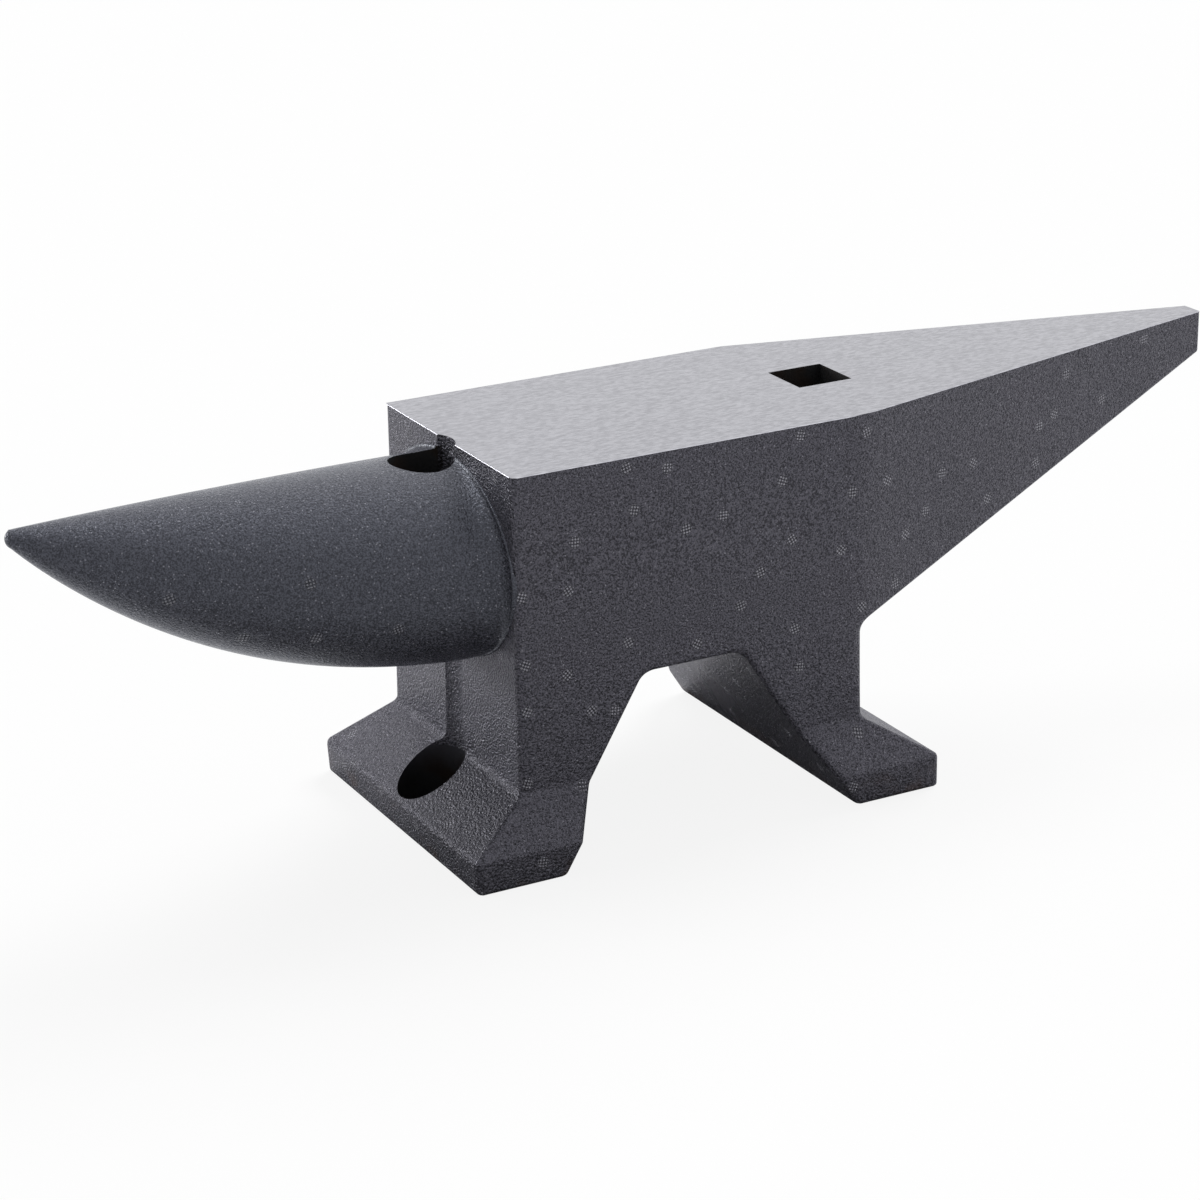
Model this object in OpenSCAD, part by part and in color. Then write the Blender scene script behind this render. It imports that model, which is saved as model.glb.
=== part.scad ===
// Single horn anvil: a steel face plate on a solid body, a round horn in front, a wedge
// heel behind, and two flared feet with an arch between them. A square tool hole goes
// down through the heel, and a bolt hole goes down through the horn's root and the toe
// below it. Millimetres. The heel points along +X, up is +Z, and the origin is on the
// ground, in the middle of the anvil's length and width.

/* [Body] */
// Width of the body and of the working face
body_w = 127; // [110:1:150]
// Length of the body, from its front face to its rear face
body_l = 175.5; // [150:0.5:220]
// Height of the working face above the ground
face_h = 180.5; // [165:0.5:210]
// Height of the joint between the body and the feet
joint_h = 68; // [58:1:72]

/* [Face plate] */
// Thickness of the steel face plate
plate_t = 12; // [8:1:16]

/* [Horn] */
// Length of the horn, from the body's front face to its tip
horn_l = 201.5; // [150:0.5:270]
// Width of the horn at its root
horn_w = 105; // [80:1:112]
// Depth of the horn at its root, from its top line to its underside
horn_d = 90.5; // [70:0.5:95]
// Step from the working face down to the horn's top line
horn_step = 7.5; // [4:0.5:12]
// How far the horn's top line rises on its way to the tip
horn_rise = 1.5; // [0:0.1:5]
// Radius of the rounded tip
tip_r = 4.5; // [3:0.5:8]
// Radius of the fillet at the horn's sides, where it leaves the body
root_r = 9.5; // [2:0.5:12]
// How far that fillet stands up on top of the horn
root_top = 2; // [0.5:0.5:4]

/* [Heel] */
// Length of the heel, from the body's rear face to its end
heel_l = 230.5; // [160:0.5:290]
// Depth of the heel where it leaves the body
heel_root_d = 98.5; // [80:0.5:105]
// Depth of the heel at its end, with the face plate
heel_end_d = 20.5; // [18:0.5:35]
// Width of the heel at its end
heel_end_w = 12; // [6:0.5:40]

/* [Feet] */
// Height of the upright edge round the feet
toe_h = 15.5; // [8:0.5:20]
// Height where the feet begin to spread from the body
flare_h = 35.5; // [25:0.5:45]
// How far the front foot's sole reaches in front of the body
toe_front = 29.5; // [28.5:0.5:40]
// How far the front toe's upright edge leans out on its way up
toe_lean = 1; // [0:0.5:3]
// How far the front leg leans out on its way down to the flare
leg_lean = 1.2; // [0:0.1:3]
// How far the rear foot reaches behind the body
toe_rear = 32.5; // [20:0.5:50]
// How far the feet reach out on each side of the body
toe_side = 17.5; // [10:0.5:30]
// Radius of the fillet above the flare
flare_r = 5; // [1:0.5:8]
// Radius of the edge between the flare and the upright edge
toe_r = 3; // [1:0.5:4]
// Radius of the edge round the soles
sole_r = 1.5; // [1:0.5:6]

/* [Arch] */
// Height of the arch between the feet
arch_h = 80; // [74:0.5:88]
// Width of the arch at its top
arch_top_w = 50; // [35:0.5:62]
// Width of the arch at the ground
arch_base_w = 149; // [120:0.5:154]
// Distance from the body's front face to the middle of the arch
arch_x = 88; // [83:0.5:93]
// Radius in the top corners of the arch
arch_r = 11; // [4:0.5:16]

/* [Tool hole] */
// Width across the flats of the square tool hole
tool_hole_w = 28; // [20:0.5:32]
// Distance from the body's rear face back to the middle of the tool hole
tool_hole_x = 10.5; // [6:0.5:30]

/* [Bolt hole] */
// Diameter of the bolt hole through the horn
horn_bolt_d = 30; // [24:0.5:32]
// Diameter of the bolt hole through the front foot
foot_bolt_d = 33; // [26:0.5:35]
// Distance from the body's front face forward to the axis of the bolt hole
bolt_x = 12; // [9:0.5:13]

/* [Hidden] */

// How far a cutting shape runs past the solid that it cuts
past = 1;

// Flats in each round of an outline, and sides of the bolt hole
round_steps = 6;
hole_sides = 96;

// Rings along the horn, steps in its root fillet and its tip, and sides of its section
horn_rings = 30;
root_steps = 5;
tip_steps = 4;
horn_sides = 48;

// The horn's underside sweeps up as 1 - t^belly, drawn out by the power taper
horn_belly = 2.2;
horn_taper = 0.91;
// The section is a rounded square of this power at the root, and an ellipse at the tip
root_power = 2.2;
// The section narrows from its root width to a round one by this power
narrowing = 1.9;
// The tip's round meets the horn's sides where they slope by this angle
tip_angle = 27;

total_l = horn_l + body_l + heel_l;
front_x = horn_l - total_l / 2;
rear_x = front_x + body_l;
end_x = rear_x + heel_l;
plate_z = face_h - plate_t;
horn_top_z = face_h - horn_step;
heel_root_z = face_h - heel_root_d;
heel_end_z = face_h - heel_end_d;
arch_mid_x = front_x + arch_x;
bolt_axis_x = front_x - bolt_x;
foot_w = body_w + 2 * toe_side;

// Half the width of the arch at a height
function arch_half(z) = (arch_base_w - (arch_base_w - arch_top_w) * z / arch_h) / 2;

// Points of one round in an outline: an arc of radius r that touches both lines at b
function corner(a, b, c, r) =
    let (
        u = (a - b) / norm(a - b),
        v = (c - b) / norm(c - b),
        half = acos(max(-1, min(1, u * v))) / 2,
        back = r / tan(half),
        mid = b + (u + v) / norm(u + v) * r / sin(half),
        start = b + u * back - mid,
        side = sign(u[0] * v[1] - u[1] * v[0]),
        sweep = 180 - 2 * half
    )
    r <= 0 ? [b] : [
        for (i = [0 : round_steps])
        let (turn = -side * sweep * i / round_steps)
        mid + [
            start[0] * cos(turn) - start[1] * sin(turn),
            start[0] * sin(turn) + start[1] * cos(turn)
        ]
    ];

// An outline of [x, y, radius] corners with each corner rounded
function rounded(corners) =
    let (
        n = len(corners),
        p = [for (c = corners) [c[0], c[1]]]
    )
    [for (i = [0 : n - 1]) each corner(p[(i + n - 1) % n], p[i], p[(i + 1) % n], corners[i][2])];

// A side outline in X and Z, carried across the width w
module across(outline, w) {
    translate([0, w / 2, 0])
        rotate([90, 0, 0])
            linear_extrude(height = w)
                polygon(outline);
}

// An end outline in Y and Z, carried along X between two ends
module along(outline, from_x, to_x) {
    translate([from_x, 0, 0])
        rotate([90, 0, 90])
            linear_extrude(height = to_x - from_x)
                polygon(outline);
}

// The bolt hole as a round bar of diameter d between two heights
module bolt_bar(d, low_z, high_z) {
    translate([bolt_axis_x, 0, low_z])
        cylinder(d = d, h = high_z - low_z, $fn = hole_sides);
}

// The tool hole as a square bar. Below the heel it leaves the body's rear face on a slope.
module tool_bar() {
    near_x = rear_x + tool_hole_x - tool_hole_w / 2;
    far_x = near_x + tool_hole_w;
    cut = max(0, rear_x - near_x);
    run_out_z = heel_root_z - 4;
    across([
        [near_x, face_h + past],
        [near_x, run_out_z],
        [near_x + cut + past, run_out_z - cut - past],
        [far_x, run_out_z - cut - past],
        [far_x, face_h + past]
    ], tool_hole_w);
}

// The working face from the horn to the heel's end, with the tool hole and the notch
// that the bolt hole leaves in its front edge
module face_plate() {
    color("silver")
        difference() {
            translate([0, 0, plate_z])
                linear_extrude(height = plate_t)
                    polygon([
                        [front_x, -body_w / 2],
                        [rear_x, -body_w / 2],
                        [end_x, -heel_end_w / 2],
                        [end_x, heel_end_w / 2],
                        [rear_x, body_w / 2],
                        [front_x, body_w / 2]
                    ]);
            tool_bar();
            bolt_bar(horn_bolt_d, plate_z - past, face_h + past);
        }
}

// The block between the face plate and the feet, with the top of the arch in its underside
module body() {
    top_half = arch_half(arch_h);
    low_half = arch_half(joint_h);
    color("dimgray")
        difference() {
            across(rounded([
                [front_x, plate_z, 0],
                [front_x, joint_h, 0],
                [arch_mid_x - low_half, joint_h, 0],
                [arch_mid_x - top_half, arch_h, arch_r],
                [arch_mid_x + top_half, arch_h, arch_r],
                [arch_mid_x + low_half, joint_h, 0],
                [rear_x, joint_h, 0],
                [rear_x, plate_z, 0]
            ]), body_w);
            tool_bar();
            bolt_bar(horn_bolt_d, joint_h - past, plate_z + past);
        }
}

// Half the depth of the horn at a distance from the root. The curve would close a little
// past the tip's round.
function horn_half(x) =
    let (close_l = horn_l + tip_r)
    horn_d / 2 * pow(1 - pow(x / close_l, horn_belly), horn_taper);

// Height of the horn's top line at a distance from the root
function horn_top(x) = horn_top_z + horn_rise * x / horn_l;

// Radius of the root fillet, kept within the body's front face
function root_fillet() = max(0.5, min(root_r, (body_w - horn_w) / 2));

// Share of the root fillet's reach that is left at a distance from the body
function root_swell(x, r) = x >= r ? 0 : 1 - sqrt(1 - pow(1 - x / r, 2));

// Distance from the root, half depth and centre height of each ring of the horn
function horn_stations() =
    let (
        r = root_fillet(),
        tip_start = horn_l - tip_r * (1 - sin(tip_angle)),
        tip_half = tip_r * cos(tip_angle),
        tip_z = horn_top(tip_start) - tip_half
    )
    concat(
        [for (i = [0 : root_steps]) let (x = r * pow(i / root_steps, 2)) [x, horn_half(x), undef]],
        [for (i = [1 : horn_rings]) let (
            t = i / horn_rings,
            x = r + (tip_start - r) * (1 - pow(1 - t, 1.6))
        ) [x, i == horn_rings ? tip_half : max(tip_half, horn_half(x)), undef]],
        [for (i = [1 : tip_steps]) let (
            turn = tip_angle + (88 - tip_angle) * i / tip_steps
        ) [horn_l - tip_r * (1 - sin(turn)), tip_r * cos(turn), tip_z]]
    );

// One ring of the horn's section, as points in the anvil's own frame
function horn_ring(x, half, mid_z) =
    let (
        r = root_fillet(),
        t = min(1, x / horn_l),
        swell = root_swell(max(x, 0.04 * r), r),
        widen = (horn_w / horn_d - 1) * pow(1 - t, narrowing),
        half_y = half * (1 + widen) + r * swell,
        top_half = half + min(root_top, horn_step / 2) * swell,
        z = is_undef(mid_z) ? horn_top(x) - half : mid_z,
        power = 2 / (root_power + (2 - root_power) * t)
    )
    [for (i = [0 : horn_sides - 1]) let (a = 360 * i / horn_sides) [
        front_x - x,
        half_y * sign(sin(a)) * pow(abs(sin(a)), power),
        z + (cos(a) > 0 ? top_half : half) * sign(cos(a)) * pow(abs(cos(a)), power)
    ]];

// The round horn with its fillet at the root, and the bolt hole through it
module horn() {
    stations = horn_stations();
    n = horn_sides;
    count = len(stations);
    points = [for (s = stations) each horn_ring(s[0], s[1], s[2])];
    sides = [
        for (k = [0 : count - 2]) for (i = [0 : n - 1])
        let (
            j = (i + 1) % n,
            a = k * n + i,
            b = k * n + j,
            c = (k + 1) * n + j,
            d = (k + 1) * n + i
        )
        each [[a, c, b], [a, d, c]]
    ];
    root_cap = [for (i = [0 : n - 1]) i];
    tip_cap = [for (i = [n - 1 : -1 : 0]) (count - 1) * n + i];
    color("slategray")
        difference() {
            polyhedron(points = points, faces = concat(sides, [root_cap], [tip_cap]), convexity = 4);
            bolt_bar(horn_bolt_d, joint_h - past, face_h + past);
        }
}

// The wedge behind the body, under the tapered end of the face plate
module heel() {
    color("dimgray")
        difference() {
            intersection() {
                across([
                    [rear_x, plate_z],
                    [rear_x, heel_root_z],
                    [end_x, heel_end_z],
                    [end_x, plate_z]
                ], body_w);
                linear_extrude(height = face_h)
                    polygon([
                        [rear_x, -body_w / 2],
                        [end_x, -heel_end_w / 2],
                        [end_x, heel_end_w / 2],
                        [rear_x, body_w / 2]
                    ]);
            }
            tool_bar();
        }
}

// The end outline that both feet share
function foot_end() = rounded([
    [-body_w / 2, joint_h, 0],
    [-body_w / 2, flare_h, flare_r],
    [-foot_w / 2, toe_h, toe_r],
    [-foot_w / 2, 0, sole_r],
    [foot_w / 2, 0, sole_r],
    [foot_w / 2, toe_h, toe_r],
    [body_w / 2, flare_h, flare_r],
    [body_w / 2, joint_h, 0]
]);

// The foot under the horn: a leg that spreads into a flared toe, with the bolt hole
module front_foot() {
    color("gray")
        difference() {
            intersection() {
                across(rounded([
                    [front_x, joint_h, 0],
                    [front_x - leg_lean, flare_h, flare_r],
                    [front_x - toe_front - toe_lean, toe_h, toe_r],
                    [front_x - toe_front, 0, sole_r],
                    [arch_mid_x - arch_half(0), 0, sole_r],
                    [arch_mid_x - arch_half(joint_h), joint_h, 0]
                ]), foot_w);
                along(foot_end(), front_x - toe_front - toe_lean - past, arch_mid_x);
            }
            bolt_bar(foot_bolt_d, -past, flare_h);
            bolt_bar(horn_bolt_d, flare_h - past, joint_h + past);
        }
}

// The foot under the heel, a leg that spreads into a flared toe
module rear_foot() {
    color("gray")
        difference() {
            intersection() {
                across(rounded([
                    [rear_x, joint_h, 0],
                    [rear_x, flare_h, flare_r],
                    [rear_x + toe_rear, toe_h, toe_r],
                    [rear_x + toe_rear, 0, sole_r],
                    [arch_mid_x + arch_half(0), 0, sole_r],
                    [arch_mid_x + arch_half(joint_h), joint_h, 0]
                ]), foot_w);
                along(foot_end(), arch_mid_x, rear_x + toe_rear + past);
            }
            tool_bar();
        }
}

face_plate();
body();
horn();
heel();
front_foot();
rear_foot();
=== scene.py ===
# %% [markdown]
# # A single horn anvil
# An anvil is one heavy steel casting. Its top is ground to bare steel, and the rest keeps
# the skin of the sand mould under a coat of dark paint. This lesson models it in the way
# that it is made: a plain block first, then rounded edges, then the drilled holes, and
# the finishes last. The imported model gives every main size, so the script reads it first
# and measures it instead of typing the same numbers again.

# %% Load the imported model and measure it
from math import atan2, cos, pi, radians, sin, sqrt, tan

import bmesh
import bpy
from mathutils import Matrix, Vector


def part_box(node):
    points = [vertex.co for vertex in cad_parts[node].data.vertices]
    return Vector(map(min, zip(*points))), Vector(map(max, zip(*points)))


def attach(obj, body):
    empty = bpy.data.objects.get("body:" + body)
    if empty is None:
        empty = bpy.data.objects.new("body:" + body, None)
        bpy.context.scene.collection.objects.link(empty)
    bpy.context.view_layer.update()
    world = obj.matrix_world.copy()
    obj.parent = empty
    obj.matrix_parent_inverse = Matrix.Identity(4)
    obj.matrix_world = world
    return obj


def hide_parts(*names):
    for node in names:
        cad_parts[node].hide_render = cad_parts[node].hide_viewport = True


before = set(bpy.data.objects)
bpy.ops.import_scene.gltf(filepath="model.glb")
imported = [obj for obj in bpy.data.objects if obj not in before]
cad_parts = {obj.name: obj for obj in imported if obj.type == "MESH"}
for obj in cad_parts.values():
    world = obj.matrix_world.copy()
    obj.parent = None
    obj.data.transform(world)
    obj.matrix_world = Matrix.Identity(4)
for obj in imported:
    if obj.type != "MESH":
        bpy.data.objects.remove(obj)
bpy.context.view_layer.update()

MM = 0.001
EPS = 0.01 * MM

body_low, body_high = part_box("body")
heel_low, heel_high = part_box("heel")
horn_low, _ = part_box("horn")
_, plate_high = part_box("face_plate")
_, front_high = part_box("front_foot")
_, rear_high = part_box("rear_foot")

front_x, rear_x = body_low.x, body_high.x
half_w = body_high.y
joint_z, plate_z, face_z = body_low.z, body_high.z, plate_high.z
tip_x, end_x = horn_low.x, heel_high.x
toe_half_w = front_high.y
toe_rear_x = rear_high.x
heel_root_z = heel_low.z
print(f"anvil {(end_x - tip_x) / MM:.1f} mm long and {face_z / MM:.1f} mm high")
print(f"body {2 * half_w / MM:.1f} mm wide, feet {2 * toe_half_w / MM:.1f} mm wide")

# %% [markdown]
# ## The camera
# A long lens looks from the horn's side, a little from above the face. A camera could be
# placed by a matrix, but nobody can read one. So its direction is written as a
# photographer would say it: how far round, how far up, and how much the camera leans.

# %% Place the camera
AIM = Vector((-22.1, 10.4, 87.0)) * MM
DISTANCE = 1526.2 * MM
AZIMUTH = radians(27.90)
ELEVATION = radians(20.51)
LEAN = radians(-1.01)
LENS = 99.68
SENSOR_W = 36.0
FARTHEST = 60.0

level = cos(ELEVATION)
forward = Vector((sin(AZIMUTH) * level, cos(AZIMUTH) * level, -sin(ELEVATION)))
camera = bpy.data.objects.new("camera", bpy.data.cameras.new("camera"))
camera.data.lens = LENS
camera.data.sensor_width = SENSOR_W
camera.data.clip_end = FARTHEST
turn = forward.to_track_quat("-Z", "Y").to_matrix().to_4x4() @ Matrix.Rotation(LEAN, 4, "Z")
camera.matrix_world = Matrix.Translation(AIM - forward * DISTANCE) @ turn
bpy.context.scene.collection.objects.link(camera)
bpy.context.scene.camera = camera
print("camera at", [round(c, 3) for c in camera.matrix_world.translation])

# %% [markdown]
# ## Short words for node trees
# The floor, the sky and every finish are node trees. A node could be added, set up and
# linked one line at a time, but then the recipe is lost among the wiring. So a few
# helpers each do one of these jobs in a call, and give back what the next step needs.

# %% Helpers for node trees
def fill(tree, node, inputs):
    """Gives inputs of a node their values, or links them where a socket is given."""
    for name, value in inputs.items():
        if isinstance(value, bpy.types.NodeSocket):
            tree.links.new(value, node.inputs[name])
        else:
            node.inputs[name].default_value = value


def add_node(tree, kind, inputs=None, **options):
    """Adds a node, sets its options and fills its inputs."""
    made = tree.nodes.new(kind)
    for name, value in options.items():
        setattr(made, name, value)
    fill(tree, made, inputs or {})
    return made


def calc(tree, operation, a, b=0.0, c=0.0):
    """One step of arithmetic on numbers or sockets."""
    return add_node(tree, "ShaderNodeMath", {0: a, 1: b, 2: c}, operation=operation).outputs[0]


def new_finish(name):
    """A new material, with its node tree and its shader."""
    finish = bpy.data.materials.new(name)
    finish.use_nodes = True
    return finish, finish.node_tree, finish.node_tree.nodes["Principled BSDF"]


print("node helpers ready")

# %% [markdown]
# ## The studio
# The anvil stands on a plain pale floor in an even white surround. More light would
# whiten both, but it would bleach the anvil too. So for the camera alone, most of the
# floor's colour is plain white, and its shadow stays faint. Where the camera or a
# reflection looks past the floor, the surround is that same white. Everything else sees
# only a dim sky, which fills in the shadows a little.

# %% Make the floor
FLOOR_HALF = 12.0
FLOOR_COLOUR = (0.72, 0.72, 0.72, 1.0)
FLOOR_ROUGHNESS = 0.9
FLOOR_WHITE = 0.88

scene = bpy.context.scene
scene.view_settings.view_transform = "Standard"

bm = bmesh.new()
bmesh.ops.create_grid(bm, x_segments=1, y_segments=1, size=FLOOR_HALF)
floor = bpy.data.objects.new("floor", bpy.data.meshes.new("floor"))
bm.to_mesh(floor.data)
bm.free()
scene.collection.objects.link(floor)

floor_paint, tree, matt = new_finish("studio_floor")
fill(tree, matt, {
    "Base Color": FLOOR_COLOUR, "Roughness": FLOOR_ROUGHNESS, "Specular IOR Level": 0.0,
})
in_view = add_node(tree, "ShaderNodeLightPath").outputs["Is Camera Ray"]
white_share = calc(tree, "MULTIPLY", in_view, FLOOR_WHITE)
plain_white = add_node(tree, "ShaderNodeEmission").outputs[0]
shown = add_node(tree, "ShaderNodeMixShader", {0: white_share, 1: matt.outputs[0], 2: plain_white})
fill(tree, tree.nodes["Material Output"], {0: shown.outputs[0]})
floor.data.materials.append(floor_paint)
print("floor", 2 * FLOOR_HALF, "m wide")

# %% Make the sky
SKY_LEVEL = 0.05
WHITE = (1.0, 1.0, 1.0, 1.0)

world = bpy.data.worlds.new("studio")
scene.world = world
world.use_nodes = True
tree = world.node_tree
tree.nodes.clear()
ray = add_node(tree, "ShaderNodeLightPath").outputs
reflected = calc(tree, "MAXIMUM", ray["Is Glossy Ray"], ray["Is Transmission Ray"])
seen = calc(tree, "MAXIMUM", ray["Is Camera Ray"], reflected)
dim_sky = add_node(tree, "ShaderNodeBackground", {"Color": WHITE, "Strength": SKY_LEVEL})
white_sky = add_node(tree, "ShaderNodeBackground", {"Color": WHITE, "Strength": 1.0})
shown = add_node(
    tree, "ShaderNodeMixShader", {0: seen, 1: dim_sky.outputs[0], 2: white_sky.outputs[0]},
)
add_node(tree, "ShaderNodeOutputWorld", {0: shown.outputs[0]})
print("sky of strength", SKY_LEVEL, "with a white surround")

# %% [markdown]
# ## The lamps
# Five broad lamps stand far off, so the light is even and its shadows are soft. Three
# are behind the anvil, where they graze the horn, the ground face and the slope of the
# toe. The near side gets only a dim lamp on the right, the light from overhead and what
# the floor throws back. The strongest lamp is kept out of reflections, because its image
# in the ground steel would burn out to white.

# %% Place the lamps
def add_lamp(name, azimuth, elevation, strength, breadth, mirrored=True):
    """A distant lamp. Angles are in degrees, and the azimuth turns from +X towards +Y."""
    lamp = bpy.data.objects.new(name, bpy.data.lights.new(name, "SUN"))
    lamp.data.energy = strength
    lamp.data.angle = radians(breadth)
    a, e = radians(azimuth), radians(elevation)
    to_lamp = Vector((cos(a) * cos(e), sin(a) * cos(e), sin(e)))
    lamp.rotation_mode = "QUATERNION"
    lamp.rotation_quaternion = to_lamp.to_track_quat("Z", "Y")
    lamp.visible_glossy = mirrored
    scene.collection.objects.link(lamp)


add_lamp("high_behind_left", azimuth=120.0, elevation=64.0, strength=0.95, breadth=30.0)
add_lamp("low_behind_left", azimuth=124.0, elevation=5.0, strength=1.1, breadth=20.0)
add_lamp("behind_right", azimuth=30.0, elevation=38.0, strength=3.6, breadth=35.0, mirrored=False)
add_lamp("low_front_right", azimuth=325.0, elevation=22.0, strength=0.4, breadth=90.0)
add_lamp("overhead", azimuth=0.0, elevation=80.0, strength=0.6, breadth=90.0)
print(len(bpy.data.lights), "lamps placed")

# %% [markdown]
# ## The block of the casting
# The casting could be joined from blocks, but body, heel and feet are one outline when
# they are seen from the side. So it starts as that outline, extruded across the body's
# width. Two level cuts then mark where the feet flare, and the points below them move
# outwards. A cut behind the body marks where the heel begins, and the points at its end
# move in to make the wedge. The sides lean out a little towards the ground, so that the
# pattern leaves the sand.

# %% Draw the side of the casting
TOE_Z = 15.5 * MM
FLARE_Z = 35.5 * MM
TOE_REACH = 29.5 * MM
TOE_LEAN = 1.0 * MM
LEG_LEAN = 0.3 * MM
ARCH_Z = 80.0 * MM
ARCH_TOP = (front_x + 62.5 * MM, front_x + 112.5 * MM)
ARCH_BASE = (front_x + 14.0 * MM, front_x + 163.0 * MM)
HEEL_END_Z = face_z - 20.5 * MM

toe_front_x = front_x - TOE_REACH
side_outline = [
    (front_x, face_z),
    (front_x, joint_z),
    (front_x - LEG_LEAN, FLARE_Z),
    (toe_front_x - TOE_LEAN, TOE_Z),
    (toe_front_x, 0.0),
    (ARCH_BASE[0], 0.0),
    (ARCH_TOP[0], ARCH_Z),
    (ARCH_TOP[1], ARCH_Z),
    (ARCH_BASE[1], 0.0),
    (toe_rear_x, 0.0),
    (toe_rear_x, TOE_Z),
    (rear_x, FLARE_Z),
    (rear_x, heel_root_z),
    (end_x, HEEL_END_Z),
    (end_x, face_z),
]


def thick_outline(outline, half):
    """A bmesh of an outline in X and Z, extruded from -half to half across Y."""
    bm = bmesh.new()
    near_side = bm.faces.new([bm.verts.new((x, -half, z)) for x, z in outline])
    grown = bmesh.ops.extrude_face_region(bm, geom=[near_side])
    far_points = [v for v in grown["geom"] if isinstance(v, bmesh.types.BMVert)]
    bmesh.ops.translate(bm, verts=far_points, vec=(0.0, 2 * half, 0.0))
    return bm


cage = thick_outline(side_outline, half_w)
print("side outline of", len(side_outline), "corners")

# %% Spread the feet and taper the heel
HEEL_END_HALF_W = 6.0 * MM
DRAFT = 1.5 * MM
FLAT_ENOUGH = radians(0.5)


def cut_level(bm, faces, point, normal):
    """A flat cut through some faces, which adds edges and takes nothing away."""
    parts = list({e for f in faces for e in f.edges}) + list(faces)
    bmesh.ops.bisect_plane(bm, geom=parts, dist=EPS, plane_co=point, plane_no=normal)


for cut_z in (FLARE_Z, TOE_Z):
    cut_level(cage, cage.faces[:], (0.0, 0.0, cut_z), (0.0, 0.0, 1.0))
upper = [f for f in cage.faces if min(v.co.z for v in f.verts) > FLARE_Z - EPS]
cut_level(cage, upper, (rear_x, 0.0, 0.0), (1.0, 0.0, 0.0))

for v in cage.verts:
    if v.co.z < TOE_Z + EPS:
        v.co.y *= toe_half_w / half_w
    elif v.co.x > rear_x + EPS:
        v.co.y *= HEEL_END_HALF_W / half_w
    else:
        v.co.y *= 1 + DRAFT / half_w * (face_z - v.co.z) / (face_z - FLARE_Z)
bmesh.ops.recalc_face_normals(cage, faces=cage.faces)
bmesh.ops.dissolve_limit(cage, angle_limit=FLAT_ENOUGH, verts=cage.verts, edges=cage.edges)
print("cage has", len(cage.verts), "points,", len(cage.edges), "edges,", len(cage.faces), "faces")

# %% [markdown]
# ## Rounded edges
# A sand casting has no sharp edge except where a machine has cut it. Each edge of the
# cage could be bevelled by itself, but the corners where several radii meet would not
# close well. So each edge gets its own radius as a weight, and one Bevel modifier reads
# all the weights and closes each corner with one patch.

# %% Choose a radius for each edge
CRISP_R = 0.4 * MM
CORNER_R = 3.3 * MM
ARCH_R = 11.0 * MM
ARCH_EDGE_R = 3.0 * MM
FLARE_R = 5.0 * MM
HIP_R = 2.5 * MM
TOE_R = 3.5 * MM
TOE_CORNER_R = 4.0 * MM
SOLE_R = 2.2 * MM
ARCH_SOLE_R = 5.0 * MM
HEEL_ROOT_R = 8.0 * MM
HEEL_EDGE_R = 1.6 * MM
HEEL_END_R = 2.0 * MM
FOLD_R = 60.0 * MM
WIDEST = 12.0 * MM


def near(a, b):
    """True if two lengths are the same within a hundredth of a millimetre."""
    return abs(a - b) < EPS


def edge_radius(edge):
    """The radius that the casting has along one edge of the cage."""
    a, b = (v.co for v in edge.verts)
    mid = (a + b) / 2
    across = near(a.x, b.x) and near(a.z, b.z)
    if near(mid.z, face_z):
        return CRISP_R
    if near(mid.z, 0.0):
        return ARCH_SOLE_R if across and min(abs(mid.x - x) for x in ARCH_BASE) < EPS else SOLE_R
    if near(a.z, TOE_Z) and near(b.z, TOE_Z):
        return TOE_R
    if near(a.z, FLARE_Z) and near(b.z, FLARE_Z):
        return FLARE_R
    if near(a.z, ARCH_Z) and near(b.z, ARCH_Z):
        return ARCH_R if across else ARCH_EDGE_R
    if mid.x > rear_x + EPS and mid.z > heel_root_z:
        return HEEL_END_R if near(mid.x, end_x) else HEEL_EDGE_R
    if across and near(mid.x, rear_x):
        return HEEL_ROOT_R
    if near(mid.x, rear_x) and mid.z > heel_root_z or near(a.z, joint_z) and near(b.z, joint_z):
        return FOLD_R
    if ARCH_BASE[0] + EPS < mid.x < ARCH_BASE[1] - EPS and not near(a.x, b.x):
        return ARCH_EDGE_R
    if mid.z < TOE_Z:
        return TOE_CORNER_R
    if mid.z < FLARE_Z:
        return HIP_R
    return CORNER_R


weight = cage.edges.layers.float.new("bevel_weight_edge")
for edge in cage.edges:
    width = edge_radius(edge) * tan(edge.calc_face_angle(0.0) / 2)
    edge[weight] = min(1.0, width / WIDEST)
print("widest bevel", round(max(e[weight] for e in cage.edges) * WIDEST / MM, 1), "mm")

# %% [markdown]
# ## From bmesh to piece and back
# Modifiers work on an object and not on a bmesh. One helper turns a bmesh into an object
# with its place in the mesh. The other takes the shape that the modifiers leave as a
# bmesh again, so that the next step can work on the finished form.

# %% Round the block
ROUNDING_STEPS = 6


def make_object(name, bm):
    """A new object at the origin that holds the bmesh's shape."""
    bmesh.ops.recalc_face_normals(bm, faces=bm.faces)
    mesh = bpy.data.meshes.new(name)
    bm.to_mesh(mesh)
    bm.free()
    obj = bpy.data.objects.new(name, mesh)
    scene.collection.objects.link(obj)
    return obj


def take_shape(obj):
    """A bmesh of the object as its modifiers leave it. The object itself is removed."""
    bpy.context.view_layer.update()
    shown = obj.evaluated_get(bpy.context.evaluated_depsgraph_get())
    bm = bmesh.new()
    bm.from_mesh(shown.data)
    bpy.data.objects.remove(obj)
    return bm


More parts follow.
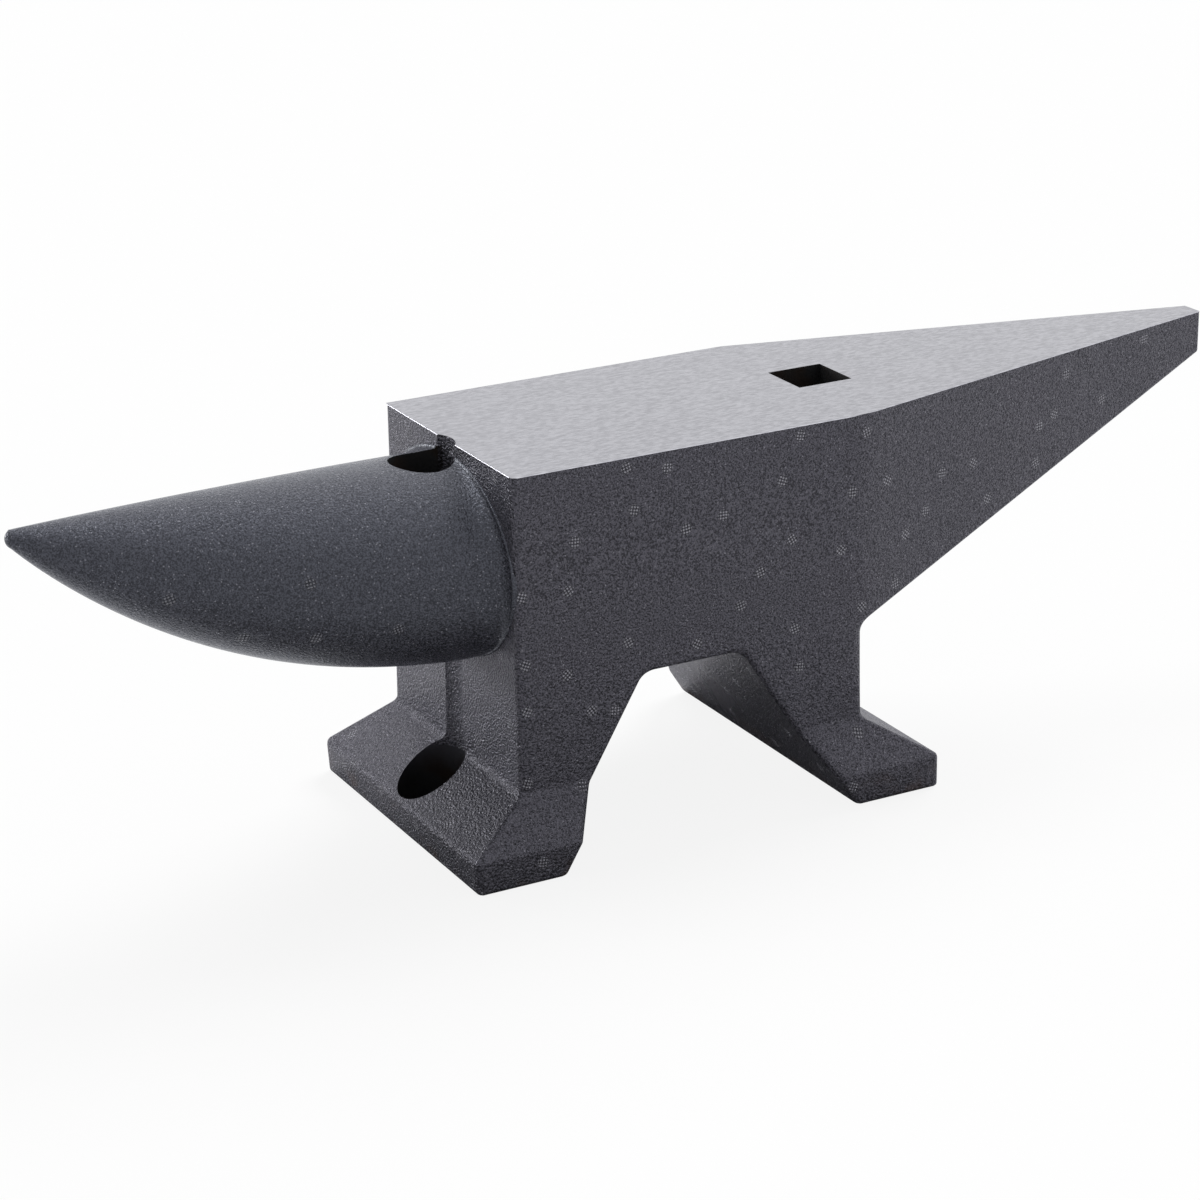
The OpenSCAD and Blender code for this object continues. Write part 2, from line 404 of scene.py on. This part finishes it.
casting = make_object("casting", cage)
rounding = casting.modifiers.new("rounding", "BEVEL")
rounding.limit_method = "WEIGHT"
rounding.offset_type = "OFFSET"
rounding.width = WIDEST
rounding.segments = ROUNDING_STEPS
rounding.profile = 0.5
rounding.use_clamp_overlap = False
cast = take_shape(casting)
print("rounded casting has", len(cast.faces), "faces")

# %% [markdown]
# ## The horn
# A smith's horn is round at the tip and a little wider than deep at its root, with a
# nearly straight top and a belly that sweeps up. It could be lofted through drawn
# sections, but it is easier to turn it like a chair leg: a line is spun about an axis,
# and then each ring is pressed to its real section and lifted until its top touches the
# top line. At the root a fillet swells it, and ends on the body in a small rounded rim.

# %% Measure the horn along its length
HORN_D = 90.5 * MM
HORN_TOP_Z = face_z - 7.5 * MM
HORN_RISE = 1.5 * MM
HORN_CROWN = 0.9 * MM
HORN_TIP_R = 4.5 * MM
TIP_ANGLE = radians(27.0)
BELLY = 2.2
TAPER = 0.91

horn_l = front_x - tip_x
tip_start = horn_l - HORN_TIP_R * (1 - sin(TIP_ANGLE))


def horn_half(x):
    """Half the horn's depth at a distance from its root."""
    x = max(0.0, x)
    if x > tip_start:
        along = x - (horn_l - HORN_TIP_R)
        return sqrt(max(0.0, HORN_TIP_R ** 2 - along ** 2))
    swept = HORN_D / 2 * (1 - (x / (horn_l + HORN_TIP_R)) ** BELLY) ** TAPER
    return max(swept, HORN_TIP_R * cos(TIP_ANGLE))


def horn_top(x):
    """Height of the horn's top line, with the slight crown along it."""
    t = x / horn_l
    return HORN_TOP_Z + HORN_RISE * t + HORN_CROWN * 4 * t * (1 - t)


quarters = [horn_l * i / 4 for i in range(5)]
print("horn depth in mm, by quarters:", [round(2 * horn_half(x) / MM, 1) for x in quarters])

# %% Shape the horn's section and its root
HORN_W = 105.0 * MM
NARROWING = 1.9
ROOT_POWER = 2.2
ROOT_R = 10.0 * MM
ROOT_LIFT = 1.8 * MM
ROOT_STEP = 0.8 * MM


def root_swell(x):
    """Share of the root fillet's reach at a distance, from 1 on the body's front to 0."""
    along = min(1.0, max(0.0, (x - ROOT_STEP) / ROOT_R))
    return 1 - sqrt(1 - (1 - along) ** 2)


def root_rim(x):
    """Height of the small rounded rim where the root fillet ends on the body."""
    along = min(1.0, max(0.0, x / ROOT_STEP))
    return ROOT_STEP * sqrt(1 - along ** 2)


def press_ring(v):
    """Moves a point of the turned blank to the horn's own section."""
    x = front_x - v.co.x
    half = horn_half(x) + root_rim(x)
    t = min(1.0, max(0.0, x / horn_l))
    swell = root_swell(x)
    centre_z = horn_top(min(x, tip_start)) - horn_half(min(x, tip_start)) + ROOT_LIFT * swell
    widen = (HORN_W / HORN_D - 1) * (1 - t) ** NARROWING
    power = 2 / (ROOT_POWER + (2 - ROOT_POWER) * max(t, swell))
    angle = atan2(v.co.y, v.co.z)
    s, c = sin(angle), cos(angle)
    y = (half * (1 + widen) + ROOT_R * swell) * abs(s) ** power
    z = half * abs(c) ** power
    v.co.y = y if s > 0 else -y
    v.co.z = centre_z + (z if c > 0 else -z)


print("root fillet ends", round((ROOT_STEP + ROOT_R) / MM, 1), "mm ahead of the body")

# %% Turn the horn and press each ring
ROOT_SUNK = 1.2 * MM
RIM_SHARES = (0.0, 0.26, 0.5, 0.71, 0.87, 0.97, 1.0)
FILLET_RINGS = 14
HORN_RINGS = 56
CROWDING = 1.4
TIP_RINGS = 8
BLANK_R = 10.0 * MM
TURNED_SIDES = 128


def turn_line(points, centre, axis):
    """A bmesh of a line of points that is spun once round an axis."""
    bm = bmesh.new()
    line = [bm.verts.new(point) for point in points]
    for a, b in zip(line, line[1:]):
        bm.edges.new((a, b))
    bmesh.ops.spin(
        bm, geom=bm.verts[:] + bm.edges[:], axis=axis, cent=centre,
        angle=2 * pi, steps=TURNED_SIDES, use_merge=True,
    )
    return bm


steps = [-ROOT_SUNK] + [ROOT_STEP * share for share in RIM_SHARES]
steps += [ROOT_STEP + ROOT_R * (i / FILLET_RINGS) ** 2 for i in range(1, FILLET_RINGS + 1)]
body_start = steps[-1]
shares = [1 - (1 - i / HORN_RINGS) ** CROWDING for i in range(1, HORN_RINGS + 1)]
steps += [body_start + (tip_start - body_start) * share for share in shares]
tip_turns = [TIP_ANGLE + (pi / 2 - TIP_ANGLE) * i / TIP_RINGS for i in range(1, TIP_RINGS + 1)]
steps += [horn_l - HORN_TIP_R * (1 - sin(a)) for a in tip_turns]

blank = [(front_x - x, 0.0, BLANK_R if x < horn_l - EPS else 0.0) for x in steps]
horn = turn_line(blank, centre=(0.0, 0.0, 0.0), axis=(1.0, 0.0, 0.0))
for v in horn.verts:
    press_ring(v)
bmesh.ops.remove_doubles(horn, verts=horn.verts, dist=EPS)
root_ring = [e for e in horn.edges if e.is_boundary]
bmesh.ops.holes_fill(horn, edges=root_ring, sides=0)
horn_blank = make_object("horn", horn)
print("horn", round(horn_l / MM, 1), "mm long with", len(steps), "rings")

# %% [markdown]
# ## The holes
# The square hole takes the shank of a tool, and the round ones take the bolt that holds
# the anvil down. They could be modelled into the mesh, but a round hole has an awkward
# rim where it meets a sloping toe or a round horn. So each is cut by a solid of its own
# shape, as a drill or a broach would, with a Boolean modifier.

# %% Make the cutting shapes
TOOL_HOLE_W = 28.0 * MM
TOOL_HOLE_X = rear_x + 10.5 * MM
RUN_OUT_DROP = 4.0 * MM
BOLT_X = front_x - 12.0 * MM
HORN_BOLT_R = 15.0 * MM
FOOT_BOLT_R = 16.5 * MM
CONE_DROP = 4.0 * MM
CONE_RISE = 7.0 * MM
CONE_INSIDE = 0.1 * MM
PAST = 1.0 * MM


def turned_bar(name, profile):
    """A bar turned about the bolt's axis. The profile goes upwards, as (radius, height)."""
    ends = [(0.0, profile[0][1])] + profile + [(0.0, profile[-1][1])]
    points = [(BOLT_X + r, 0.0, z) for r, z in ends]
    bm = turn_line(points, centre=(BOLT_X, 0.0, 0.0), axis=(0.0, 0.0, 1.0))
    bmesh.ops.remove_doubles(bm, verts=bm.verts, dist=EPS)
    return make_object(name, bm)


def square_bar(name):
    """The square hole's bar. Its lower end slopes out through the body's rear face."""
    near_x = TOOL_HOLE_X - TOOL_HOLE_W / 2
    run_out = rear_x - near_x
    low = heel_root_z - RUN_OUT_DROP
    outline = [
        (near_x, face_z + PAST),
        (near_x, low),
        (near_x + run_out + PAST, low - run_out - PAST),
        (near_x + TOOL_HOLE_W, low - run_out - PAST),
        (near_x + TOOL_HOLE_W, face_z + PAST),
    ]
    return make_object(name, thick_outline(outline, TOOL_HOLE_W / 2))


tool_bar = square_bar("tool_bar")
bolt_bar = turned_bar("bolt_bar", [(HORN_BOLT_R, FLARE_Z - PAST), (HORN_BOLT_R, face_z + PAST)])
foot_bar = turned_bar("foot_bar", [
    (FOOT_BOLT_R, -PAST),
    (FOOT_BOLT_R, FLARE_Z - CONE_DROP),
    (HORN_BOLT_R - CONE_INSIDE, FLARE_Z + CONE_RISE),
])
for bar in (tool_bar, bolt_bar, foot_bar):
    print(bar.name, [round(side / MM, 1) for side in bar.dimensions], "mm")

# %% Cut the holes
def cut_away(obj, *cutters):
    """A bmesh of the object with each cutter's shape taken away."""
    for cutter in cutters:
        cut = obj.modifiers.new(cutter.name, "BOOLEAN")
        cut.operation = "DIFFERENCE"
        cut.solver = "EXACT"
        cut.object = cutter
    return take_shape(obj)


cast = cut_away(make_object("casting", cast), tool_bar, bolt_bar, foot_bar)
horn = cut_away(horn_blank, bolt_bar)
for bar in (tool_bar, bolt_bar, foot_bar):
    bpy.data.objects.remove(bar)
print("cut casting has", len(cast.faces), "faces and the horn", len(horn.faces))

# %% [markdown]
# ## The regions of the casting
# A smith speaks of the face, the body, the heel and the feet, although they are one
# piece of steel. The model keeps them as separate pieces that meet at flat planes. They
# could be modelled one by one, but then their rounded edges would not match at a joint.
# So each is a copy of the whole casting, cut at those planes and closed again, and no
# seam shows. The heel's cut lies a hair behind the body's rear face, to miss that face.

# %% Divide the casting
HAIR = 0.05 * MM
UP, DOWN = (0.0, 0.0, 1.0), (0.0, 0.0, -1.0)
AHEAD, BEHIND = (-1.0, 0.0, 0.0), (1.0, 0.0, 0.0)
at_plate, at_joint = (0.0, 0.0, plate_z), (0.0, 0.0, joint_z)
at_arch, at_rear = (sum(ARCH_TOP) / 2, 0.0, 0.0), (rear_x + HAIR, 0.0, 0.0)


def region(name, planes):
    """One region of the casting, on the side of each plane that its normal points to."""
    bm = cast.copy()
    for point, normal in planes:
        bmesh.ops.bisect_plane(
            bm, geom=bm.verts[:] + bm.edges[:] + bm.faces[:], dist=EPS, plane_co=point,
            plane_no=normal, clear_inner=True,
        )
        bmesh.ops.holes_fill(bm, edges=[e for e in bm.edges if e.is_boundary], sides=0)
    return make_object(name, bm)


pieces = {
    "face_plate": region("steel_face", [(at_plate, UP)]),
    "body": region("anvil_body", [(at_plate, DOWN), (at_joint, UP), (at_rear, AHEAD)]),
    "heel": region("anvil_heel", [(at_plate, DOWN), (at_joint, UP), (at_rear, BEHIND)]),
    "front_foot": region("front_foot_casting", [(at_joint, DOWN), (at_arch, AHEAD)]),
    "rear_foot": region("rear_foot_casting", [(at_joint, DOWN), (at_arch, BEHIND)]),
    "horn": make_object("round_horn", horn),
}
cast.free()
for node, obj in pieces.items():
    print(node, "->", obj.name, len(obj.data.polygons), "faces")

# %% Let each piece stand for its node
SHARP = radians(35.0)
LARGE_FACES_LEAD = 100

for node, obj in pieces.items():
    obj.data.polygons.foreach_set("use_smooth", [True] * len(obj.data.polygons))
    obj.data.set_sharp_from_angle(angle=SHARP)
    weighted = obj.modifiers.new("even_normals", "WEIGHTED_NORMAL")
    weighted.keep_sharp = True
    weighted.weight = LARGE_FACES_LEAD
    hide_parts(node)
    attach(obj, "root")
print(len(pieces), "pieces stand for their nodes")

# %% [markdown]
# ## Shared finishes
# The skin of a sand casting is a print of the sand: a dense grain of about a millimetre.
# Under that lie slow waves where the sand was rammed unevenly. The screens over the vents
# of the core box print small round marks of dots. An image could carry all this, but it
# would need unwrapping. Noise on the piece's own coordinates has no seams, so each is a
# node group that gives out heights in metres, and each finish sets its own depth.

# %% Helpers for surface patterns
CLOUD_LOW, CLOUD_HIGH = 0.3, 0.7


def own_place(tree):
    """Each point's own place on the piece, in metres."""
    return add_node(tree, "ShaderNodeTexCoord").outputs["Object"]


def split(tree, vector):
    """The three parts of a vector."""
    return add_node(tree, "ShaderNodeSeparateXYZ", {0: vector}).outputs


def spread(tree, value, low, high, out_low=0.0, out_high=1.0):
    """The value taken from one range to another, with soft ends."""
    ends = {
        "Value": value, "From Min": low, "From Max": high,
        "To Min": out_low, "To Max": out_high,
    }
    return add_node(tree, "ShaderNodeMapRange", ends, interpolation_type="SMOOTHSTEP").outputs[0]


def blend(tree, amount, a, b):
    """A colour between two colours."""
    return add_node(tree, "ShaderNodeMix", {0: amount, 6: a, 7: b}, data_type="RGBA").outputs[2]


def between(tree, amount, a, b):
    """A number between two numbers."""
    return add_node(tree, "ShaderNodeMix", {0: amount, 2: a, 3: b}).outputs[0]


def cloud(tree, place, scale, detail=2.0, roughness=0.5):
    """Soft noise between 0 and 1, with lumps of about one metre divided by the scale."""
    ins = {"Vector": place, "Scale": scale, "Detail": detail, "Roughness": roughness}
    return add_node(tree, "ShaderNodeTexNoise", ins).outputs[0]


def raised(tree, height):
    """A normal that is bent by a height in metres."""
    ins = {"Height": height, "Distance": 1.0, "Strength": 1.0}
    return add_node(tree, "ShaderNodeBump", ins).outputs["Normal"]


def new_group(name, inputs, outputs):
    """An empty node group with number inputs, their first values, and number outputs."""
    group = bpy.data.node_groups.new(name, "ShaderNodeTree")
    for label, value in inputs.items():
        socket = group.interface.new_socket(label, in_out="INPUT", socket_type="NodeSocketFloat")
        socket.default_value = value
    for label in outputs:
        group.interface.new_socket(label, in_out="OUTPUT", socket_type="NodeSocketFloat")
    given = group.nodes.new("NodeGroupInput").outputs
    result = group.nodes.new("NodeGroupOutput")
    return group, given, result


print("pattern helpers ready")

# %% The grain of the sand
SKIN_DEPTH = 0.15 * MM
SKIN_WAVES = 0.3 * MM
FINE_GRAINS = 1400.0
COARSE_GRAINS = 900.0
RAMMED_WAVES = 28.0
CRYSTALS = 420.0
CRYSTAL_CORE, CRYSTAL_EDGE = 0.05, 0.20
FINE_IN_HEIGHT = 0.3
COARSE_IN_SHADE = 0.5
PIT_END, BUMP_END = 0.56, 0.94

sand_skin, given, result = new_group(
    "sand_skin", {"Depth": SKIN_DEPTH, "Waves": SKIN_WAVES}, ["Height", "Shade", "Glint"],
)
place = own_place(sand_skin)
fine = cloud(sand_skin, place, FINE_GRAINS, detail=1.0)
coarse = cloud(sand_skin, place, COARSE_GRAINS, detail=1.0)
waves = cloud(sand_skin, place, RAMMED_WAVES, detail=1.0)
# Glint marks a few crystals, which the paint makes pale as painted glints.
crystal = add_node(sand_skin, "ShaderNodeTexVoronoi", {"Vector": place, "Scale": CRYSTALS})
grain = calc(sand_skin, "MULTIPLY_ADD", fine, FINE_IN_HEIGHT, coarse)
height = calc(sand_skin, "MULTIPLY", grain, given["Depth"])
# Shade is lower where the grain is low: partly the grain's own tone, partly painted shade in its
# hollows.
shade = calc(sand_skin, "MULTIPLY_ADD", coarse, COARSE_IN_SHADE, fine)
fill(sand_skin, result, {
    "Height": calc(sand_skin, "MULTIPLY_ADD", waves, given["Waves"], height),
    "Shade": spread(sand_skin, shade, PIT_END, BUMP_END),
    "Glint": spread(sand_skin, crystal.outputs["Distance"], CRYSTAL_CORE, CRYSTAL_EDGE, 1.0, 0.0),
})
print("sand grain of", round(1 / COARSE_GRAINS / MM, 1), "mm ready")

# %% The marks of the vent screens
# Each mark lies in the plane that faces it best, so the normal chooses two of the three
# coordinates: side faces use X and Z, front faces Y and Z, and level ones X and Y.
VENT_SIZES = {"Spacing": 28.0 * MM, "Radius": 3.0 * MM, "Mesh": 1.4 * MM, "Share": 0.9}
MARK_SCATTER = 0.75
DOT_SCATTER = 0.1
SOLID_PART = 0.8
DOT_CORE, DOT_EDGE = 0.15, 0.5


def flat_cells(tree, vector, per_metre, scatter):
    """Points scattered over a plane: how far the nearest is, where, and its own colour."""
    ins = {"Vector": vector, "Scale": per_metre, "Randomness": scatter}
    return add_node(tree, "ShaderNodeTexVoronoi", ins, voronoi_dimensions="2D").outputs


vent_marks, given, result = new_group("vent_marks", VENT_SIZES, ["Height", "Mask"])
coordinate = add_node(vent_marks, "ShaderNodeTexCoord").outputs
place = split(vent_marks, coordinate["Object"])
facing = split(vent_marks, coordinate["Normal"])
nx, ny, nz = (calc(vent_marks, "ABSOLUTE", part) for part in facing)
on_front = calc(vent_marks, "GREATER_THAN", nx, calc(vent_marks, "MAXIMUM", ny, nz))
on_top = calc(vent_marks, "GREATER_THAN", nz, calc(vent_marks, "MAXIMUM", nx, ny))
along = between(vent_marks, on_front, place[0], place[1])
up = between(vent_marks, on_top, place[2], place[1])
flat = add_node(vent_marks, "ShaderNodeCombineXYZ", {0: along, 1: up}).outputs[0]

per_metre = calc(vent_marks, "DIVIDE", 1.0, given["Spacing"])
mark = flat_cells(vent_marks, flat, per_metre, MARK_SCATTER)
chance = add_node(vent_marks, "ShaderNodeSeparateColor", {0: mark["Color"]}).outputs
from_centre = calc(vent_marks, "MULTIPLY", mark["Distance"], given["Spacing"])
solid_r = calc(vent_marks, "MULTIPLY", given["Radius"], SOLID_PART)
disc = spread(vent_marks, from_centre, solid_r, given["Radius"], 1.0, 0.0)
disc = calc(vent_marks, "MULTIPLY", disc, calc(vent_marks, "LESS_THAN", chance[1], given["Share"]))

local = add_node(
    vent_marks, "ShaderNodeVectorMath", {0: flat, 1: mark["Position"]}, operation="SUBTRACT",
)
turned = add_node(
    vent_marks, "ShaderNodeVectorRotate",
    {"Vector": local.outputs[0], "Angle": calc(vent_marks, "MULTIPLY", chance[0], pi)},
    rotation_type="Z_AXIS",
)
dots_per_metre = calc(vent_marks, "DIVIDE", 1.0, given["Mesh"])
dot = flat_cells(vent_marks, turned.outputs[0], dots_per_metre, DOT_SCATTER)
dots = spread(vent_marks, dot["Distance"], DOT_CORE, DOT_EDGE, 1.0, 0.0)
fill(vent_marks, result, {"Height": calc(vent_marks, "MULTIPLY", disc, dots), "Mask": disc})
print("vent marks ready")

# %% [markdown]
# ## Paint
# The casting is sprayed with a charcoal enamel that dries to a low shine. It follows
# every grain. The pits between the grains are darker and lose their shine, partly from
# the grain's own tone and partly as painted shade in the hollows. The vent marks are
# painted darker too, as shade in their hollows. A few crystals and the dots of the vents
# are painted pale as glints, and there they are also a little bare and smoother. One
# plain colour would look like plastic, so the recipe mixes these by the shared patterns.
# The horn is dressed smoother before it is painted, so its grain is shallower and its
# marks are fewer. Near the ground a trace of rust stains the paint.

# %% Write the recipe of the paint
RUST = (0.110, 0.060, 0.035, 1.0)
# The dark of the painted shade in the vent marks.
VENT_PAINTED_SHADE = (0.012, 0.012, 0.014, 1.0)
# The pale colour of painted glints on crystals and on the dots of the vents.
PAINTED_GLINT = (0.380, 0.375, 0.420, 1.0)
PAINT_SHINE = 0.58
PAINT_WAVES = 0.25 * MM
VENT_DEPTH = 0.45 * MM
VENT_SHADE_SHARE = 0.8
PAINTED_GLINT_SHARE = 0.6
GLINT_BARE = 0.15
GLINT_POLISH = 0.22
SHEEN_PATCHES = 14.0
SHEEN_CHANGE = 0.04
RUST_PATCHES = 60.0
PATCH_LOW, PATCH_HIGH = 0.50, 0.72
RUST_FROM, RUST_TO = 2.0 * MM, 16.0 * MM
RUST_MOST = 0.5


def ground_rust(tree, place):
    """Share of rust in the paint: patches at the ground, and none a little above it."""
    low = spread(tree, split(tree, place)[2], RUST_FROM, RUST_TO, 1.0, 0.0)
    patches = cloud(tree, place, RUST_PATCHES, detail=3.0)
    patches = spread(tree, patches, PATCH_LOW, PATCH_HIGH)
    return calc(tree, "MULTIPLY", calc(tree, "MULTIPLY", low, patches), RUST_MOST)


def charcoal_paint(name, colour, dark, shine, depth, marks, dots, roughness, pit_shade_strength):
    """Dark paint over a cast skin whose depth is in metres.

    colour is the paint on the grains and dark the paint in the pits, which is partly
    painted shade, and shine is the colour of its gloss. marks is the share of the vents that
    show, and dots is how pale their dots are painted, as glints. The last argument is how
    far the pits lose their gloss as painted shade: there the paint counts in part as
    metal, whose reflection is as dark as its colour.
    """
    paint, tree, shader = new_finish(name)
    place = own_place(tree)
    skin = add_node(tree, "ShaderNodeGroup", node_tree=sand_skin)
    fill(tree, skin, {"Depth": depth, "Waves": PAINT_WAVES})
    vents = add_node(tree, "ShaderNodeGroup", node_tree=vent_marks)
    fill(tree, vents, {"Share": marks})
    shade, glint, screen = skin.outputs["Shade"], skin.outputs["Glint"], vents.outputs["Height"]

    # The paint in the pits is darker: partly the grain's tone, partly painted shade.
    tint = blend(tree, shade, dark, colour)
    # The vent marks are painted darker, as shade in their hollows.
    tint = blend(tree, calc(tree, "MULTIPLY", vents.outputs["Mask"], VENT_SHADE_SHARE), tint, VENT_PAINTED_SHADE)
    # The dots of the vents are painted pale as glints.
    tint = blend(tree, calc(tree, "MULTIPLY", screen, dots), tint, PAINTED_GLINT)
    # A few crystals are painted pale as glints.
    tint = blend(tree, calc(tree, "MULTIPLY", glint, PAINTED_GLINT_SHARE), tint, PAINTED_GLINT)
    tint = blend(tree, ground_rust(tree, place), tint, RUST)

    smoother, rougher = roughness - SHEEN_CHANGE, roughness + SHEEN_CHANGE
    sheen = cloud(tree, place, SHEEN_PATCHES)
    sheen = spread(tree, sheen, CLOUD_LOW, CLOUD_HIGH, smoother, rougher)
    # In the pits the paint counts in part as metal with its dark colour, a painted shade on its
    # reflection.
    pits = calc(tree, "MULTIPLY_ADD", shade, -pit_shade_strength, pit_shade_strength)
    bare = calc(tree, "MAXIMUM", glint, screen)
    height = calc(tree, "MULTIPLY_ADD", screen, VENT_DEPTH, skin.outputs["Height"])
    fill(tree, shader, {
        "Base Color": tint,
        "Roughness": calc(tree, "MULTIPLY_ADD", glint, -GLINT_POLISH, sheen),
        "Metallic": between(tree, bare, pits, GLINT_BARE),
        "Normal": raised(tree, height),
        "Specular IOR Level": PAINT_SHINE,
        "Specular Tint": shine,
    })
    return paint


print("paint recipe ready")

# %% Mix the two paints
casting_paint = charcoal_paint(
    "casting_paint",
    colour=(0.094, 0.091, 0.110, 1.0),
    dark=(0.012, 0.012, 0.014, 1.0),
    shine=(0.84, 0.83, 1.0, 1.0),
    depth=1.0 * MM, marks=0.9, dots=1.0, roughness=0.30, pit_shade_strength=0.45,
)
horn_paint = charcoal_paint(
    "horn_paint",
    colour=(0.068, 0.069, 0.085, 1.0),
    dark=(0.018, 0.018, 0.022, 1.0),
    shine=(0.78, 0.84, 1.0, 1.0),
    depth=0.45 * MM, marks=0.45, dots=0.55, roughness=0.23, pit_shade_strength=0.38,
)
print("paints ready")

# %% [markdown]
# ## Ground steel and bare bores
# The face is ground flat with a wheel that runs along the anvil, which leaves a fine
# grain that is a little longer than it is wide. Scratches could be modelled, but they
# are far finer than a pixel, so a stretched noise bends the reflection a little. The
# bores are left unpainted, with a little rust and little shine. Their near-black colour
# is painted shade for the dark inside deep holes. Higher up in the toe's hole that
# painted shade gives way, so the upper wall is painted paler, as light near its mouth.

# %% Grind the steel
STEEL_DARK = (0.29, 0.29, 0.32, 1.0)
STEEL_BRIGHT = (0.47, 0.47, 0.51, 1.0)
STEEL_HAZE = (0.46, 0.46, 0.50, 1.0)
HAZE_MOST = 0.30
GRIT_STRETCH = (0.33, 1.0, 1.0)
GRITS = 800.0
HAZE_PATCHES = 9.0
SCRATCH_DEPTH = 0.02 * MM
STEEL_SMOOTH, STEEL_ROUGH = 0.22, 0.27


def ground_steel():
    """Bare steel from a surface grinder: bright, with a faint grain along X."""
    steel, tree, shader = new_finish("ground_steel")
    place = own_place(tree)
    longer = add_node(tree, "ShaderNodeMapping", {"Vector": place, "Scale": GRIT_STRETCH})
    grit = cloud(tree, longer.outputs[0], GRITS, roughness=0.6)
    haze = cloud(tree, place, HAZE_PATCHES)
    tint = blend(tree, spread(tree, grit, CLOUD_LOW, CLOUD_HIGH), STEEL_DARK, STEEL_BRIGHT)
    fill(tree, shader, {
        "Metallic": 1.0,
        "Base Color": blend(tree, calc(tree, "MULTIPLY", haze, HAZE_MOST), tint, STEEL_HAZE),
        "Roughness": spread(tree, haze, CLOUD_LOW, CLOUD_HIGH, STEEL_SMOOTH, STEEL_ROUGH),
        "Normal": raised(tree, calc(tree, "MULTIPLY", grit, SCRATCH_DEPTH)),
    })
    return steel


steel = ground_steel()
print("steel ready")

# %% Blacken the bores
# Near black as painted shade for the dark inside deep holes.
BORE_PAINTED_SHADE = (0.008, 0.008, 0.009, 1.0)
BORE_RUST = (0.020, 0.013, 0.010, 1.0)
BORE_LIT_MOUTH = (0.050, 0.049, 0.060, 1.0)
BORE_SHINE = 0.25
BORE_SMOOTH, BORE_ROUGH = 0.75, 0.9
BORE_PATCHES = 90.0
SCALE_LOW, SCALE_HIGH = 0.45, 0.70
# Heights where the painted shade lifts in the toe's hole, as light near its mouth.
SHADE_LIFT_FROM, SHADE_LIFT_FULL = 17.0 * MM, 32.0 * MM
SHADE_LIFT_FADE, SHADE_LIFT_TO = 45.0 * MM, 50.0 * MM
SHADE_LIFT_MOST = 0.9


def bare_bore():
    """The wall of a hole: near black as painted shade, with a little rust, and painted paler high
    in the toe's hole as light near its mouth.
    """
    bore, tree, shader = new_finish("bare_bore")
    place = own_place(tree)
    height = split(tree, place)[2]
    rust = spread(tree, cloud(tree, place, BORE_PATCHES, detail=4.0), SCALE_LOW, SCALE_HIGH)
    # The near black of the walls is painted shade, with patches of rust.
    tint = blend(tree, rust, BORE_PAINTED_SHADE, BORE_RUST)
    # Higher up in the toe's hole the wall is painted paler, as light near its mouth.
    rise = spread(tree, height, SHADE_LIFT_FROM, SHADE_LIFT_FULL)
    fall = spread(tree, height, SHADE_LIFT_FADE, SHADE_LIFT_TO, SHADE_LIFT_MOST, 0.0)
    skin = add_node(tree, "ShaderNodeGroup", node_tree=sand_skin)
    fill(tree, shader, {
        "Base Color": blend(tree, calc(tree, "MULTIPLY", rise, fall), tint, BORE_LIT_MOUTH),
        "Roughness": spread(tree, rust, 0.0, 1.0, BORE_SMOOTH, BORE_ROUGH),
        "Normal": raised(tree, skin.outputs["Height"]),
        "Specular IOR Level": BORE_SHINE,
    })
    return bore


bore = bare_bore()
print("bore ready")

# %% [markdown]
# ## Which face gets which finish
# A piece may show paint, a bore's wall and ground steel, because the holes and the
# machined top cut through the regions. The faces could be picked by number, but a
# Boolean numbers them anew whenever a size changes. So each face is judged by where it
# lies: the walls of the holes by how far their corners are from the hole's middle, and
# the ground top by its height.

# %% Give each face its finish
BORE_SLOT, STEEL_SLOT = 1, 2
UPRIGHT = 0.1
WALL_FIT = 0.05 * MM
GROUND_DEPTH = 0.5 * MM
FACES_UP = 0.3


def in_bore(node, corners, face):
    """True for the walls of the square hole and of the round ones, not for the groove."""
    if abs(face.normal.z) > UPRIGHT:
        return False
    square = max(max(abs(co.x - TOOL_HOLE_X), abs(co.y)) for co in corners)
    reach = max(sqrt((co.x - BOLT_X) ** 2 + co.y ** 2) for co in corners)
    round_wall = reach < FOOT_BOLT_R + WALL_FIT and (face.center.z < FLARE_Z or node == "horn")
    return square < TOOL_HOLE_W / 2 + WALL_FIT or round_wall


for node, obj in pieces.items():
    mesh = obj.data
    for finish in (horn_paint if node == "horn" else casting_paint, bore, steel):
        mesh.materials.append(finish)
    for face in mesh.polygons:
        if in_bore(node, [mesh.vertices[i].co for i in face.vertices], face):
            face.material_index = BORE_SLOT
        elif face.center.z > face_z - GROUND_DEPTH and face.normal.z > FACES_UP:
            face.material_index = STEEL_SLOT
    slots = [face.material_index for face in mesh.polygons]
    print(obj.name, [slots.count(i) for i in range(3)], "faces of paint, bore and steel")
